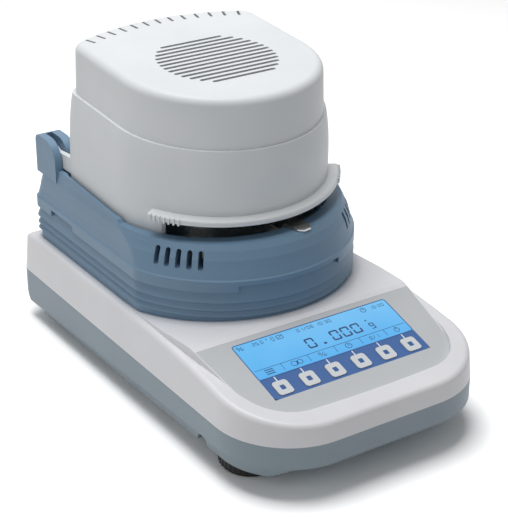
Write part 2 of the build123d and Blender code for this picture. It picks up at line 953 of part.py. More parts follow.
def main_board():
    x = (-board_post_x - 6, board_post_x + 6)
    y = (board_post_y[0] - 4, board_post_y[1] + 6)
    high = board_bottom + board_thickness
    board = block(x, y, (board_bottom, high))
    for chip_x, chip_y, width, depth, tall in board_chips:
        chip = Box(width, depth, tall)
        board = board + Pos(chip_x, board_post_y[0] + chip_y, high + tall / 2) * chip
    return board


def power_supply():
    x = (supply_post_x[0] - 6, supply_post_x[1] + 6)
    y = (supply_post_y[0] - 4, supply_post_y[1] + 4)
    base = supply_bottom + board_thickness
    board = block(x, y, (supply_bottom, base))
    transformer = block((x[0] + 3, x[0] + 26), (y[0] + 6, y[1] - 8), (base, base + 20))
    capacitor = rod(7, base, base + 22, x[1] - 20, y[0] + 10)
    relay = block((x[1] - 24, x[1] - 4), (y[1] - 14, y[1] - 2), (base, base + 13))
    return board + transformer + capacitor + relay


# Rear panel and what it carries


def rear_panel():
    gap = running_gap
    x = (-panel_recess_half + gap, panel_recess_half - gap)
    z = (recess_low + gap, recess_high - gap)
    plate = block(x, (recess_floor_y, plate_back), z)
    plate = plate - pocket(inlet_x, inlet_z, inlet_size, 30)
    plate = plate - pocket(switch_x, inlet_z, switch_size, 30)
    plate = plate - Pos(fuse_x, recess_floor_y, inlet_z) * Rot(X=90) * Cylinder(fuse_radius + fuse_gap, 30)
    plate = plate - pocket(serial_x, inlet_z, serial_size, 30)
    return plate - pocket(usb_x, inlet_z, usb_size, 30)


plate_back = recess_floor_y + rear_plate_thickness


def pocket(x, z, size, depth):
    """Box centred on the rear panel, for a hole or a connector body."""
    return Pos(x, recess_floor_y, z) * Box(size[0], depth, size[1])


def connector(x, size, flange, depth, socket, socket_depth, round_corner):
    """Body behind the panel, a flange on its face and a socket from outside."""
    body_y = (recess_floor_y - depth, plate_back)
    half_x = size[0] / 2
    half_z = size[1] / 2
    body = block((x - half_x, x + half_x), body_y, (inlet_z - half_z, inlet_z + half_z))
    lip_x = half_x + flange
    lip_z = half_z + flange
    lip = block((x - lip_x, x + lip_x), (plate_back, plate_back + 1.2), (inlet_z - lip_z, inlet_z + lip_z))
    lip = fillet(lip.edges().filter_by(Axis.Y), round_corner)
    body = body + lip
    cut = extrude(Plane.XZ * RectangleRounded(socket[0], socket[1], round_corner), amount=socket_depth)
    return body - Pos(x, plate_back + 1.2, inlet_z) * cut


def power_inlet():
    body = connector(inlet_x, inlet_size, 2.0, 18, (24.4, 17.0), 16, 2.5)
    for dx, dz in ((-7, -1.5), (0, 2.5), (7, -1.5)):
        x = (inlet_x + dx - 1, inlet_x + dx + 1)
        z = (inlet_z + dz - 2, inlet_z + dz + 2)
        body = body + block(x, (plate_back - 15.5, plate_back - 2), z)
    return body


def switch_frame():
    return connector(switch_x, switch_size, 1.5, 14, (10.4, 16.0), 10, 0.8)


def rocker_pivot():
    return Pos(switch_x, plate_back - 3.5, inlet_z)


def rocker():
    half = 7.2
    face = make_face(
        Polyline((-4.0, -half), (5.4, -half), (4.3, 0), (5.4, half), (-4.0, half), (-1.5, 0), close=True)
    )
    wedge = extrude(Plane.YZ * face, amount=4.7, both=True)
    tilt = rocker_pivot() * Rot(X=-switch_throw / 2)
    axle = rocker_pivot() * Rot(Y=90) * Cylinder(1.2, 10.0)
    return tilt * wedge + axle


def fuse_holder():
    turn = Pos(fuse_x, plate_back, inlet_z) * Rot(X=-90)
    body = turn * Pos(0, 0, -14) * Cylinder(fuse_radius, 28)
    head = turn * Pos(0, 0, 1.2) * Cylinder(fuse_radius + 1.5, 2.4)
    slot = turn * Pos(0, 0, 2.4) * Box(9, 1.4, 2.4)
    return body + head - slot


def serial_port():
    port = connector(serial_x, serial_size, 0.6, 8, (17.0, 8.2), 6, 1.5)
    for side in (-1, 1):
        nut = Pos(serial_x + side * 12.5, plate_back + 2.4, inlet_z) * Rot(X=90)
        port = port + nut * Cylinder(2.4, 4.0)
    return port


def usb_port():
    port = connector(usb_x, usb_size, 1.0, 12, (8.6, 8.0), 9, 0.8)
    x = (usb_x - 2.8, usb_x + 2.8)
    return port + block(x, (plate_back - 8.5, plate_back - 1), (inlet_z - 1.6, inlet_z + 1.6))


# Hood


def hood_outer():
    lower = [
        (0.0, hood_plan(hood_radius, hood_rear)),
        (40.0, hood_plan(hood_radius - 0.5, hood_rear + 0.6)),
        (58.0, hood_plan(hood_radius - 1.8, hood_rear + 0.9)),
        (hood_shoulder, hood_plan(hood_radius - 3.6, hood_rear + 1.0)),
    ]
    shoulder = hood_radius - 3.6 - hood_ledge
    rear = hood_rear + 1.0 - hood_ledge
    upper = [
        (hood_shoulder, hood_plan(shoulder, rear)),
        (hood_height, hood_plan(hood_top_radius, rear + 3.4)),
    ]
    cap = stack(upper)
    cap = fillet(cap.faces().sort_by(Axis.Z)[-1].edges(), hood_top_fillet)
    return stack(lower, ruled=False) + cap


def hood_inner():
    w = hood_wall
    shoulder = hood_radius - 3.6 - hood_ledge
    lower = [
        (-1.0, hood_plan(hood_radius, hood_rear, w)),
        (40.0, hood_plan(hood_radius - 0.5, hood_rear + 0.6, w)),
        (hood_shoulder - w, hood_plan(hood_radius - 3.6, hood_rear + 1.0, w)),
    ]
    upper = [
        (hood_shoulder - w - 1, hood_plan(shoulder, hood_rear - hood_ledge, w)),
        (hood_height - 3.0, hood_plan(hood_top_radius, hood_rear + 2.0, w + 2)),
    ]
    return stack(lower) + stack(upper)


def hood_lip():
    """Grip lip round the front, with ribs at both ends."""
    height = lip_high - lip_low
    ring = rod(lip_radius, lip_low, lip_high)
    ring = fillet(ring.edges(), 1.6)
    ring = ring - rod(hood_radius - 2, lip_low - 1, lip_high + 1)
    reach = 200
    edge_y = -reach * cos(radians(lip_angle))
    edge_x = reach * sin(radians(lip_angle))
    wedge = make_face(Polyline((0, 0), (-edge_x, edge_y), (0, -2 * reach), (edge_x, edge_y), close=True))
    sector = extrude(Pos(0, 0, lip_low - 2) * wedge, amount=height + 4)
    lip = ring & sector
    for side in (-1, 1):
        for index in range(rib_count):
            angle = side * (lip_angle - 1.6 - rib_pitch * index)
            rib = block((-0.6, 0.6), (-lip_radius - 1.2, -lip_radius + 4), (lip_low, lip_high))
            lip = lip + Rot(Z=angle) * rib
    return lip


def edge_slot_cuts():
    """Short slots that follow the curved rear edge of the top."""
    cuts = []
    rear = hood_rear + 2.5 - edge_slot_inset
    half = hood_top_radius
    arc_radius = (half**2 + hood_bulge**2) / (2 * hood_bulge)
    arc_y = rear + hood_bulge - arc_radius
    for index in range(edge_slots):
        x = edge_slot_span * (2 * index / (edge_slots - 1) - 1)
        angle = degrees(asin(x / arc_radius))
        turn = Pos(0, arc_y, hood_height) * Rot(Z=-angle)
        face = Pos(0, arc_radius) * SlotOverall(edge_slot_length, edge_slot_width, rotation=90)
        cuts.append(turn * extrude(face, amount=8, both=True))
    return cuts


def hood_arms():
    """Lugs that carry the hood on its hinge pins."""
    top = 9.0
    low = chamber_peak + arm_gap
    arms = []
    for side in (-1, 1):
        plate = make_face(
            Polyline(
                (hood_y + 56, low + 0.4),
                (hinge_y - 5, low),
                (hinge_y - 4, hinge_z + 6.5),
                (hood_y + 58, hinge_z + top),
                close=True,
            )
        )
        arm = across(plate, arm_thickness / 2)
        arm = arm + Pos(0, hinge_y, hinge_z) * Rot(Y=90) * Cylinder(arm_radius, arm_thickness)
        arm = arm - Pos(0, hinge_y, hinge_z) * Rot(Y=90) * Cylinder(pin_radius + pin_fit, 20)
        arms.append(Pos(side * arm_x, 0, 0) * arm)
    return arms


def hood_shell():
    shell = hood_outer() - hood_inner()
    mouth = block((-120, 120), (-120, hood_mouth_y), (-10, lip_low))
    shell = shell - mouth
    shell = shell + hood_lip()
    for cut in grille_cuts() + edge_slot_cuts():
        shell = shell - cut
    shell = hood_place * shell
    for arm in hood_arms():
        shell = shell + arm
    return shell


def grille_cuts():
    """Long slots across the top that together make a round grille."""
    cuts = []
    for index in range(grille_slots):
        offset = (index - (grille_slots - 1) / 2) * grille_pitch
        span = 2 * sqrt(grille_radius**2 - offset**2)
        slot = Pos(0, grille_y + offset, hood_height) * SlotOverall(span, grille_slot)
        cuts.append(extrude(slot, amount=8, both=True))
    return cuts


def hood_reflector():
    """Bright tray over the lamps, carried by the hood's wall."""
    w = hood_wall
    rim = hood_plan(hood_radius - 1.0, hood_rear + 0.4, w + 0.4)
    roof = hood_plan(hood_radius - 14.0, hood_rear - 12, w)
    outer = stack([(guard_height + guard_thickness + 4, rim), (reflector_height, roof)])
    rim_in = hood_plan(hood_radius - 2.0, hood_rear - 0.6, w + 0.4)
    roof_in = hood_plan(hood_radius - 15.0, hood_rear - 13, w)
    low = guard_height + guard_thickness + 3
    inner = stack([(low, rim_in), (reflector_height - 1, roof_in)])
    return hood_place * (outer - inner)


def heat_guard():
    """Wire-glass plate that closes the lamp space from below."""
    plan = hood_plan(hood_radius - 0.5, hood_rear + 0.6, hood_wall + 0.4)
    plate = extrude(Pos(0, 0, guard_height) * plan, amount=guard_thickness)
    plate = plate - rod(sensor_radius + 0.05, guard_height - 1, guard_height + 10, 0, sensor_y)
    return hood_place * (plate - rod(glass_radius + 0.1, guard_height - 1, guard_height + 10))


def guard_glass():
    glass = rod(glass_radius, guard_height, guard_height + guard_thickness)
    return hood_place * glass


def lamps():
    tubes = []
    for side in (-1, 1):
        turn = Pos(0, side * lamp_spacing / 2, lamp_height) * Rot(Y=90)
        tubes.append(hood_place * turn * Cylinder(lamp_radius, 2 * lamp_half))
    return tubes


def lamp_sockets():
    """Ceramic holders at the lamp ends, standing on the guard plate."""
    holders = []
    for side in (-1, 1):
        for end in (-1, 1):
            x = sorted((end * lamp_half, end * (lamp_half + 9)))
            y = (side * lamp_spacing / 2 - 7, side * lamp_spacing / 2 + 7)
            z = (guard_height + guard_thickness, lamp_height + 3)
            holders.append(hood_place * block(x, y, z))
    return holders


def temperature_sensor():
    """Thin probe that reaches through the guard beside the pan."""
    top = guard_height + guard_thickness
    stem = rod(sensor_radius, guard_height - sensor_reach, top, 0, sensor_y)
    head = rod(2.5 * sensor_radius, top, top + 6, 0, sensor_y)
    return hood_place * (stem + head)


def build_case():
    save(upper_case(), "upper_case")
    save(lower_case(), "lower_case")
    save(control_panel(), "control_panel")
    save(display_window(), "display_window")
    save(key_strip(), "key_strip")
    save(key_board(), "key_board")
    save(lcd_module(), "lcd_module")
    for index in range(key_count):
        save(key_cap(index), f"key_{index + 1}")
    for name, side in (("left", -1), ("right", 1)):
        save(foot_pad(side), f"foot_pad_{name}")
        save(foot_wheel(side), f"foot_wheel_{name}")
    save(Compound(children=rear_feet()), "rear_feet")
    save(Compound(children=case_screws()), "case_screws")


def build_inside():
    save(load_cell_base(), "load_cell_base")
    save(load_cell(), "load_cell")
    save(main_board(), "main_board")
    save(power_supply(), "power_supply")


def build_chamber():
    save(collar(), "collar")
    save(chamber_body(), "chamber_body")
    save(Compound(children=hinge_pins()), "hinge_pins")
    save(chamber_floor(), "chamber_floor")
    save(draft_shield(), "draft_shield")
    save(pan_support(), "pan_support")
    save(pan_handler(), "pan_handler")
    save(sample_pan(), "sample_pan")


def build_rear():
    save(rear_panel(), "rear_panel")
    save(power_inlet(), "power_inlet")
    save(switch_frame(), "switch_frame")
    save(rocker(), "power_rocker")
    save(fuse_holder(), "fuse_holder")
    save(serial_port(), "serial_port")
    save(usb_port(), "usb_port")


def build_hood():
    save(hood_shell(), "hood_shell")
    save(hood_reflector(), "hood_reflector")
    save(heat_guard(), "guard_plate")
    save(guard_glass(), "guard_glass")
    save(Compound(children=lamps()), "halogen_lamps")
    save(Compound(children=lamp_sockets()), "lamp_sockets")
    save(temperature_sensor(), "temperature_sensor")


build_case()
build_inside()
build_chamber()
build_rear()
build_hood()
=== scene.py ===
"""Moisture analyzer on a pale floor, laid out as an add-on and run as a script."""
import json
import math

import bpy
from mathutils import Matrix, Vector


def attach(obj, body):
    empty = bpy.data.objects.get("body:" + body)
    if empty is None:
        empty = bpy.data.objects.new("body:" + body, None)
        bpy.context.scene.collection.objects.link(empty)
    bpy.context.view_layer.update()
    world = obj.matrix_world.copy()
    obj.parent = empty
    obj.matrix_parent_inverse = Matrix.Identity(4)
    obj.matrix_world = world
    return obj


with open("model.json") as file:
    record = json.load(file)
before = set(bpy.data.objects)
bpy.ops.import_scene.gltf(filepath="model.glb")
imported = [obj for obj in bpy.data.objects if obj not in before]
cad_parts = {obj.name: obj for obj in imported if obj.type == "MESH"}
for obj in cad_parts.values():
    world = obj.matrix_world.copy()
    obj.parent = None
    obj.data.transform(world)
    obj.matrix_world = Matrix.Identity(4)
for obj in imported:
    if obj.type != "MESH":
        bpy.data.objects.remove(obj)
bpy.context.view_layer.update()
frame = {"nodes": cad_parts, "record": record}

bl_info = {
    "name": "Moisture Analyzer",
    "version": (1, 0, 0),
    "blender": (4, 5, 0),
    "location": "View3D > Sidebar > Analyzer",
    "description": "Finishes, display graphics and studio for a moisture analyzer",
    "category": "Object",
}

MM = 0.001
ROOT = "base"

# The control panel's plane, as the case holds it
PANEL_TILT = math.radians(14.88)
PANEL_ORIGIN = Vector((0.0, -107.8, 64.36)) * MM
PANEL = Matrix.Translation(PANEL_ORIGIN) @ Matrix.Rotation(PANEL_TILT, 4, "X")
PRINT_THICKNESS = 0.06

# Camera
CAMERA_PLACE = Vector((-0.5491, -0.8487, 0.5790))
CAMERA_AIM = Vector((0.4926, 0.7503, -0.4408))
CAMERA_LENS = 107.01
CAMERA_SENSOR = 36
CAMERA_CLIP = 0.05

# Floor, lamps and world; the seen values are for camera, glossy and transmission rays
FLOOR_SIZE = 12
FLOOR_DROP = 0.0003
FLOOR_SEEN_GAIN = 1.75
LAMP_AIM = (0, 0, 0.1)
TOP_LAMP_PLACE = (-0.1, 0.25, 1.7)
TOP_LAMP_SIZE = 1.0
TOP_LAMP_POWER = 21
SIDE_LAMP_PLACE = (-1.4, -0.4, 0.9)
SIDE_LAMP_SIZE = 0.9
SIDE_LAMP_POWER = 2.2
WORLD_SEEN = 1.0
WORLD_LIGHT = 0.19

# Prints on the control panel, in mm from its origin; the lifts stand off its face
SEGMENT_LIFT = 0.02
EDGE_LIFT = 0.015
LEAD_LIFT = 0.01
KEY_MARK_LIFT = 0.42
DISPLAY_MIDDLE_Y = 9.9
DISPLAY_EDGE = (127.4, 35.8)
DISPLAY_EDGE_CORNER = 2.2
DISPLAY_EDGE_WALL = 0.7
KEY_COUNT = 6
KEY_PITCH = 21.0
KEY_MIDDLE_Y = -19.25
KEY_MARK = (3.5, 4.1)
KEY_MARK_CORNER = 0.6
LEAD_ENDS = (-12.9, -8.2)
LEAD_WIDTH = 0.85

# Stretch of the lit screen's fade along Y from the panel's origin, in metres
SCREEN_SPAN = (-0.008, 0.027)


# Small helpers


def linear(hex_colour):
    """Linear RGBA of an sRGB hex colour."""
    channels = [int(hex_colour[i : i + 2], 16) / 255 for i in (1, 3, 5)]
    curve = [c / 12.92 if c <= 0.04045 else ((c + 0.055) / 1.055) ** 2.4 for c in channels]
    return (*curve, 1.0)


def add_node(tree, kind, inputs=None, **settings):
    """Adds one node with its settings, values and links."""
    node = tree.nodes.new(kind)
    for name, value in settings.items():
        setattr(node, name, value)
    for name, value in (inputs or {}).items():
        socket = node.inputs[name]
        if isinstance(value, bpy.types.NodeSocket):
            tree.links.new(value, socket)
        else:
            socket.default_value = value
    return node


def new_material(name):
    """Empty material: its node tree and its surface shader."""
    material = bpy.data.materials.new(name)
    material.use_nodes = True
    tree = material.node_tree
    tree.nodes.clear()
    shader = add_node(tree, "ShaderNodeBsdfPrincipled")
    add_node(tree, "ShaderNodeOutputMaterial", {"Surface": shader.outputs["BSDF"]})
    return material, tree, shader


def object_place(tree, scale=(1, 1, 1)):
    """Object coordinates, stretched."""
    coords = add_node(tree, "ShaderNodeTexCoord")
    inputs = {"Vector": coords.outputs["Object"], "Scale": scale}
    return add_node(tree, "ShaderNodeMapping", inputs).outputs["Vector"]


def noise(tree, place, size_mm, detail=3.0, roughness=0.55):
    """Cloudy pattern whose features are about size_mm across."""
    inputs = {"Vector": place, "Scale": 1 / (size_mm * MM), "Detail": detail, "Roughness": roughness}
    return add_node(tree, "ShaderNodeTexNoise", inputs).outputs["Fac"]


def remap(tree, value, low, high, start=0.3, stop=0.7):
    """Value stretched from start..stop to low..high."""
    inputs = {"Value": value, "From Min": start, "From Max": stop, "To Min": low, "To Max": high}
    return add_node(tree, "ShaderNodeMapRange", inputs).outputs["Result"]


def mix_colour(tree, factor, first, second):
    node = add_node(tree, "ShaderNodeMix", {"Factor": factor}, data_type="RGBA")
    node.inputs[6].default_value = first
    node.inputs[7].default_value = second
    return node.outputs[2]


def bump(tree, height, depth_mm, strength=1.0):
    inputs = {"Height": height, "Distance": depth_mm * MM, "Strength": strength}
    return add_node(tree, "ShaderNodeBump", inputs).outputs["Normal"]


# Materials


def moulded_plastic(name, hex_light, hex_dark, rough, grain_mm=0.9, grain_depth=0.02):
    """Injection-moulded ABS with a fine spark-eroded grain and a soft satin gloss.

    The real grain is about 0.1 mm; it is drawn coarser so that it shows as a soft bloom.
    """
    material, tree, shader = new_material(name)
    place = object_place(tree)
    clouds = noise(tree, place, 60, 2)
    grain = noise(tree, place, grain_mm, 4, 0.7)
    colour = mix_colour(tree, clouds, linear(hex_dark), linear(hex_light))
    tree.links.new(colour, shader.inputs["Base Color"])
    tree.links.new(remap(tree, grain, rough - 0.05, rough + 0.06), shader.inputs["Roughness"])
    tree.links.new(bump(tree, grain, grain_depth, 0.6), shader.inputs["Normal"])
    shader.inputs["IOR"].default_value = 1.5
    shader.inputs["Specular IOR Level"].default_value = 0.45
    return material


def printed_film(name, hex_colour, rough=0.42):
    """Screen-printed polycarbonate film with a very fine velvet texture."""
    material, tree, shader = new_material(name)
    place = object_place(tree)
    velvet = noise(tree, place, 0.5, 3)
    tone = noise(tree, place, 25, 2)
    base = linear(hex_colour)
    deep = tuple(c * 0.94 for c in base[:3]) + (1.0,)
    tree.links.new(mix_colour(tree, tone, deep, base), shader.inputs["Base Color"])
    tree.links.new(remap(tree, velvet, rough - 0.04, rough + 0.05), shader.inputs["Roughness"])
    tree.links.new(bump(tree, velvet, 0.01, 0.5), shader.inputs["Normal"])
    shader.inputs["IOR"].default_value = 1.58
    return material


def lit_screen(name, hex_top, hex_bottom, glow):
    """Backlit display behind a clear window: brighter along its upper edge."""
    material, tree, shader = new_material(name)
    place = object_place(tree)
    split = add_node(tree, "ShaderNodeSeparateXYZ", {"Vector": place})
    start = PANEL_ORIGIN.y + SCREEN_SPAN[0]
    stop = PANEL_ORIGIN.y + SCREEN_SPAN[1]
    rise = remap(tree, split.outputs["Y"], 0.0, 1.0, start, stop)
    uneven = remap(tree, noise(tree, place, 30, 2), -0.12, 0.12)
    blend = add_node(tree, "ShaderNodeMath", {0: rise, 1: uneven}, operation="ADD", use_clamp=True)
    colour = mix_colour(tree, blend.outputs[0], linear(hex_bottom), linear(hex_top))
    tree.links.new(colour, shader.inputs["Emission Color"])
    shader.inputs["Emission Strength"].default_value = glow
    shader.inputs["Base Color"].default_value = linear("#2A6FA8")
    shader.inputs["Roughness"].default_value = 0.16
    shader.inputs["IOR"].default_value = 1.5
    return material


def ink(name, hex_colour, rough=0.45):
    """Dark display segment or printed mark, with a little unevenness in the ink."""
    material, tree, shader = new_material(name)
    place = object_place(tree)
    tone = noise(tree, place, 2, 2)
    base = linear(hex_colour)
    light = tuple(min(c * 1.15 + 0.003, 1) for c in base[:3]) + (1.0,)
    tree.links.new(mix_colour(tree, tone, base, light), shader.inputs["Base Color"])
    shader.inputs["Roughness"].default_value = rough
    return material


def brushed_steel(name, hex_colour, rough, along=(1, 1, 1)):
    """Stainless sheet, brushed one way: long fine scratches in gloss and relief."""
    material, tree, shader = new_material(name)
    place = object_place(tree, along)
    lines = noise(tree, place, 0.35, 5, 0.6)
    shade = linear(hex_colour)
    deep = tuple(c * 0.86 for c in shade[:3]) + (1.0,)
    tree.links.new(mix_colour(tree, lines, deep, shade), shader.inputs["Base Color"])
    tree.links.new(remap(tree, lines, rough - 0.07, rough + 0.08), shader.inputs["Roughness"])
    tree.links.new(bump(tree, lines, 0.01, 0.5), shader.inputs["Normal"])
    shader.inputs["Metallic"].default_value = 1.0
    return material


def moulded_rubber(name):
    """Black rubber: matt, slightly dusty."""
    material, tree, shader = new_material(name)
    place = object_place(tree)
    dust = noise(tree, place, 3, 4, 0.7)
    colour = mix_colour(tree, dust, linear("#141415"), linear("#242425"))
    tree.links.new(colour, shader.inputs["Base Color"])
    tree.links.new(remap(tree, dust, 0.7, 0.9), shader.inputs["Roughness"])
    tree.links.new(bump(tree, dust, 0.03, 0.5), shader.inputs["Normal"])
    return material


def circuit_board(name):
    """Green solder-masked laminate with fine tracks."""
    material, tree, shader = new_material(name)
    place = object_place(tree)
    tracks = add_node(tree, "ShaderNodeTexVoronoi", {"Vector": place, "Scale": 1 / (3 * MM)})
    lines = remap(tree, tracks.outputs["Distance"], 0.0, 1.0, 0.2, 0.6)
    colour = mix_colour(tree, lines, linear("#0F5A2C"), linear("#0A3D1E"))
    tree.links.new(colour, shader.inputs["Base Color"])
    shader.inputs["Roughness"].default_value = 0.35
    return material


def clear_glass(name):
    """Heat-proof glass: clear, slightly wavy, dark at a slant."""
    material, tree, shader = new_material(name)
    place = object_place(tree)
    wave = noise(tree, place, 12, 2)
    tree.links.new(bump(tree, wave, 0.05, 0.3), shader.inputs["Normal"])
    shader.inputs["Base Color"].default_value = linear("#F2F6F4")
    shader.inputs["Roughness"].default_value = 0.04
    shader.inputs["IOR"].default_value = 1.47
    shader.inputs["Transmission Weight"].default_value = 1.0
    return material


def pressed_ceramic(name):
    """Steatite: off-white, chalky, speckled."""
    material, tree, shader = new_material(name)
    place = object_place(tree)
    specks = noise(tree, place, 0.8, 4, 0.8)
    colour = mix_colour(tree, specks, linear("#CFC9BC"), linear("#E8E3D8"))
    tree.links.new(colour, shader.inputs["Base Color"])
    tree.links.new(bump(tree, specks, 0.03, 0.5), shader.inputs["Normal"])
    shader.inputs["Roughness"].default_value = 0.7
    return material


MATERIALS = {}


def make_materials(settings):
    """Every finish, by the name of the record's material slot."""
    finishes = MATERIALS
    finishes["hood_white"] = moulded_plastic("moulded_asa_hood", settings.hood_light, "#DCE0E2", 0.46)
    finishes["white"] = moulded_plastic("moulded_abs_case", settings.case_light, "#DEDEE2", 0.38)
    finishes["slate"] = moulded_plastic("moulded_abs_slate", settings.slate, "#83929C", 0.45)
    finishes["blue"] = moulded_plastic("moulded_abs_blue", settings.blue, "#6A879F", 0.44)
    finishes["panel_grey"] = printed_film("printed_polycarbonate_grey", settings.panel, 0.45)
    finishes["window"] = lit_screen("backlit_display", "#7CC8F0", "#52ADE2", settings.glow)
    finishes["strip_blue"] = printed_film("printed_polycarbonate_blue", "#1F5A9E", 0.4)
    finishes["key_film"] = printed_film("printed_polycarbonate_key", "#D9DDE0", 0.4)
    finishes["rubber"] = moulded_rubber("moulded_rubber")
    finishes["black_plastic"] = moulded_plastic("moulded_nylon_black", "#202022", "#161617", 0.5)
    finishes["steel"] = brushed_steel("brushed_stainless_steel", "#C9C9C6", 0.3, (0.06, 1, 1))
    finishes["pan_steel"] = brushed_steel("pressed_aluminium", "#DADBDC", 0.34)
    finishes["aluminium"] = brushed_steel("milled_aluminium", "#B8BABC", 0.38, (1, 0.08, 1))
    finishes["board_green"] = circuit_board("solder_masked_laminate")
    finishes["glass"] = clear_glass("borosilicate_glass")
    finishes["ceramic"] = pressed_ceramic("steatite_ceramic")
    finishes["tin"] = moulded_plastic("powder_coated_steel", "#4A4D50", "#3C3F42", 0.55, 1.2, 0.04)
    finishes["segment"] = ink("display_segment", "#123C6E", 0.35)
    finishes["print_white"] = ink("printed_white", "#E6EAEE", 0.45)
    finishes["print_blue"] = ink("printed_dark_blue", "#17508F", 0.42)
    return finishes


def dress_nodes():
    """Gives every carried-over node the finish of its material slot."""
    slots = {entry["node"]: entry["material_slot"] for entry in frame["record"]["subparts"]}
    for name, node in frame["nodes"].items():
        finish = MATERIALS[slots[name]]
        node.data.materials.clear()
        node.data.materials.append(finish)


# Modelling helpers


def deselect():
    if bpy.context.object and bpy.context.object.mode != "OBJECT":
        bpy.ops.object.mode_set(mode="OBJECT")
    bpy.ops.object.select_all(action="DESELECT")


def take(name):
    """Names the object that an operator has just added."""
    piece = bpy.context.object
    piece.name = name
    piece.data.name = name
    return piece


def apply_place(piece):
    """Moves the object's place into its mesh."""
    deselect()
    piece.select_set(True)
    bpy.context.view_layer.objects.active = piece
    bpy.ops.object.transform_apply(location=True, rotation=True, scale=True)


def join(pieces, name):
    """Joins pieces into one."""
    deselect()
    for piece in pieces:
        piece.select_set(True)
    bpy.context.view_layer.objects.active = pieces[0]
    if len(pieces) > 1:
        bpy.ops.object.join()
    return take(name)


def lay_on_panel(piece, lift_mm=0.0):
    """Takes a flat piece, drawn in mm on the XY plane, to the control panel."""
    size = Matrix.Scale(MM, 4)
    lift = Matrix.Translation((0, 0, lift_mm * MM))
    piece.data.transform(PANEL @ lift @ size @ piece.matrix_world)
    piece.matrix_world = Matrix.Identity(4)
    return piece


def thicken(piece, thickness_mm=PRINT_THICKNESS):
    """Turns a flat print into a thin closed plate that stands on its face."""
    deselect()
    piece.select_set(True)
    bpy.context.view_layer.objects.active = piece
    wall = piece.modifiers.new("wall", "SOLIDIFY")
    wall.thickness = thickness_mm * MM
    wall.offset = 1.0
    bpy.ops.object.modifier_apply(modifier=wall.name)
    return piece


def rectangle(x, y, width, height, corner=0.0):
    """Flat rectangle in mm, with round corners where asked."""
    deselect()
    bpy.ops.mesh.primitive_plane_add(size=1, location=(x, y, 0))
    piece = bpy.context.object
    piece.scale = (width, height, 1)
    apply_place(piece)
    if corner:
        bpy.ops.object.mode_set(mode="EDIT")
        bpy.ops.mesh.select_all(action="SELECT")
        bpy.ops.mesh.bevel(offset=corner, segments=5, affect="VERTICES")
        bpy.ops.object.mode_set(mode="OBJECT")
    return piece


def frame_of(x, y, width, height, corner, wall):
    """Flat rectangular ring in mm: a rectangle whose inset middle is deleted."""
    piece = rectangle(x, y, width, height, corner)
    bpy.ops.object.mode_set(mode="EDIT")
    bpy.ops.mesh.select_all(action="SELECT")
    bpy.ops.mesh.inset(thickness=wall, depth=0)
    bpy.ops.mesh.delete(type="FACE")
    bpy.ops.object.mode_set(mode="OBJECT")
    return piece


def bar(x0, y0, x1, y1, width):
    """Flat bar in mm between two points."""
    deselect()
    length = math.hypot(x1 - x0, y1 - y0)
    bpy.ops.mesh.primitive_plane_add(size=1, location=((x0 + x1) / 2, (y0 + y1) / 2, 0))
    piece = bpy.context.object
    piece.rotation_euler = (0, 0, math.atan2(y1 - y0, x1 - x0))
    piece.scale = (length, width, 1)
    apply_place(piece)
    return piece


def ring(x, y, radius, wall, sides=28):
    """Flat round ring in mm."""
    deselect()
    bpy.ops.mesh.primitive_circle_add(
        vertices=sides, radius=radius, fill_type="NGON", location=(x, y, 0)
    )
    piece = bpy.context.object
    apply_place(piece)
    bpy.ops.object.mode_set(mode="EDIT")
    bpy.ops.mesh.select_all(action="SELECT")
    bpy.ops.mesh.inset(thickness=wall, depth=0)
    bpy.ops.mesh.delete(type="FACE")
    bpy.ops.object.mode_set(mode="OBJECT")
    return piece


def segment(x, y, length, width, upright):
    """One straight segment of a digit."""
    half = length / 2 - width / 2
    if upright:
        return bar(x, y - half, x, y + half, width)
    return bar(x - half, y, x + half, y, width)


SEGMENTS = {
    "0": "abcdef",
    "1": "bc",
    "2": "abdeg",
    "3": "abcdg",
    "4": "bcfg",
    "5": "acdfg",
    "6": "acdefg",
    "7": "abc",
    "8": "abcdefg",
    "9": "abcdfg",
}

# Places of a colon's points up a digit, and the widths of a slash and a space beside a digit's
COLON_SPOTS = (0.3, 0.7)
SLASH_WIDTH = 0.8
SPACE_WIDTH = 0.7


def digit(character, x, y, width, height, stroke):
    """Seven-segment digit in mm, its lower left corner at x, y."""
    half = height / 2
    spots = {
        "a": (x + width / 2, y + height - stroke / 2, width, False),
        "d": (x + width / 2, y + stroke / 2, width, False),
        "g": (x + width / 2, y + half, width, False),
        "b": (x + width - stroke / 2, y + height * 0.75, half, True),
        "c": (x + width - stroke / 2, y + height * 0.25, half, True),
        "f": (x + stroke / 2, y + height * 0.75, half, True),
        "e": (x + stroke / 2, y + height * 0.25, half, True),
    }
    pieces = []
    for name in SEGMENTS[character]:
        cx, cy, length, upright = spots[name]
        pieces.append(segment(cx, cy, length, stroke, upright))
    return pieces


def digits(text, x, y, width, height, stroke, gap):
    """Row of seven-segment digits; a colon, slash or point takes a narrow place."""
    pieces = []
    for character in text:
        if character in SEGMENTS:
            pieces += digit(character, x, y, width, height, stroke)
            x += width + gap
        elif character == ":":
            for spot in COLON_SPOTS:
                pieces.append(rectangle(x + stroke, y + height * spot, stroke, stroke))
            x += 2 * stroke + gap
        elif character == ".":
            pieces.append(rectangle(x + stroke / 2, y + stroke / 2, stroke, stroke))
            x += stroke + gap
        elif character == "/":
            pieces.append(bar(x, y, x + width * SLASH_WIDTH, y + height, stroke))
            x += width * SLASH_WIDTH + gap
        else:
            x += width * SPACE_WIDTH
    return pieces


def finish_print(pieces, name, material, lift_mm):
    """Joins flat marks, lays them on the panel and makes them ride on the case."""
    piece = lay_on_panel(join(pieces, name), lift_mm)
    thicken(piece)
    piece.data.materials.clear()
    piece.data.materials.append(MATERIALS[material])
    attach(piece, ROOT)
    return piece


# Settings


